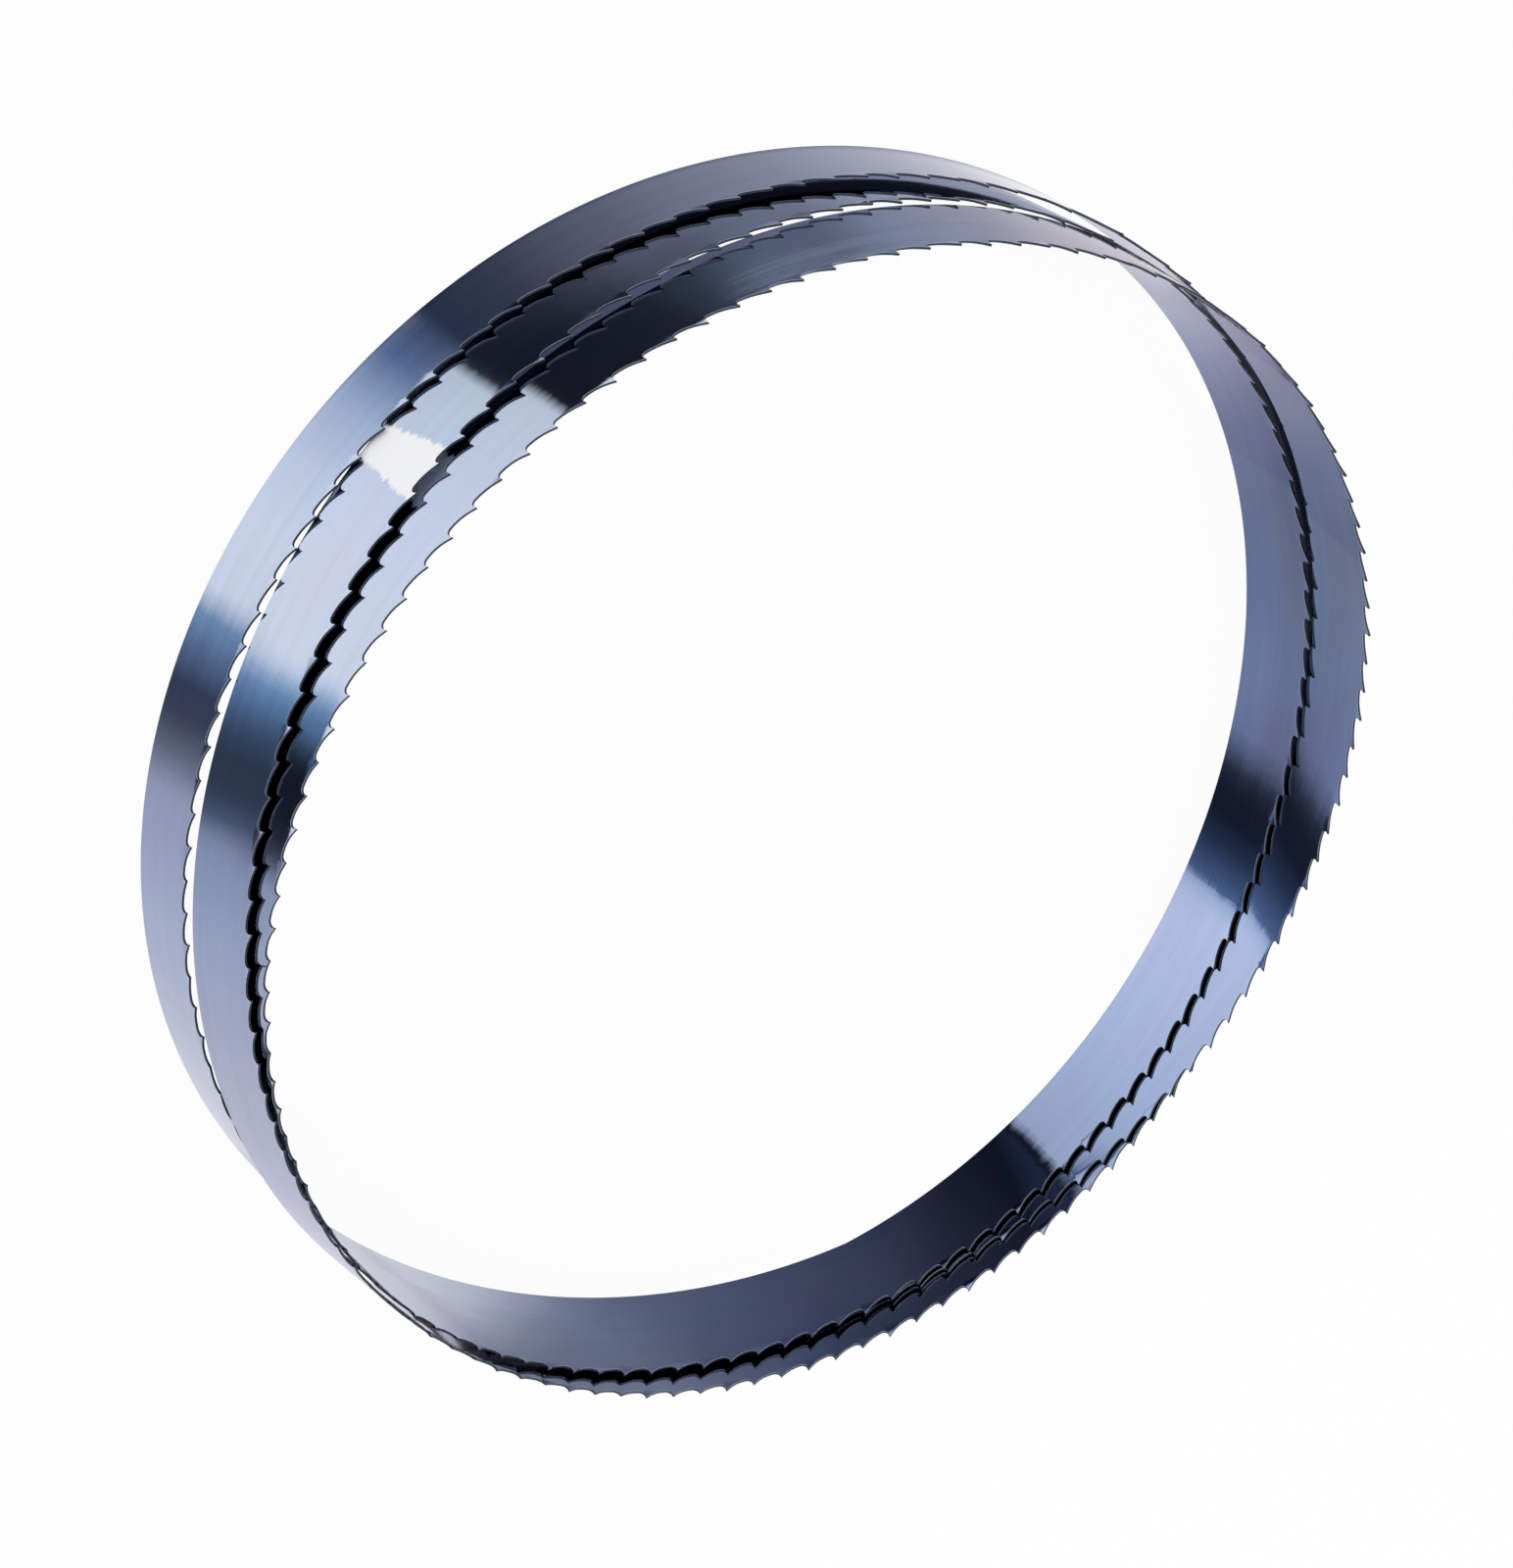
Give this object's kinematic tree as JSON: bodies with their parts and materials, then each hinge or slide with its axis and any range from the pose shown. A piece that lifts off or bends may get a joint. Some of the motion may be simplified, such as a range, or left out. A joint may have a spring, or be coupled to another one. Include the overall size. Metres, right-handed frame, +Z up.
{
  "type": "band saw blade",
  "caption": "Narrow endless band of polished spring steel with hook teeth along one edge, welded end to end and coiled flat into turns for storage",
  "frame": {"origin": "centre of the coil's footprint, on the surface it lies on", "axes": "+Z up along the coil's axis, with the teeth pointing up; +Y away from the side where the weld lies; +X to the right seen from that side"},
  "size_m": [0.2399, 0.2392, 0.0506],
  "materials": {
    "band_steel": "polished cold rolled spring steel with a bluish tint and fine streaks along the band"
  },
  "bodies": {
    "root": {"saw_band": "band_steel"}
  },
  "joints": []
}
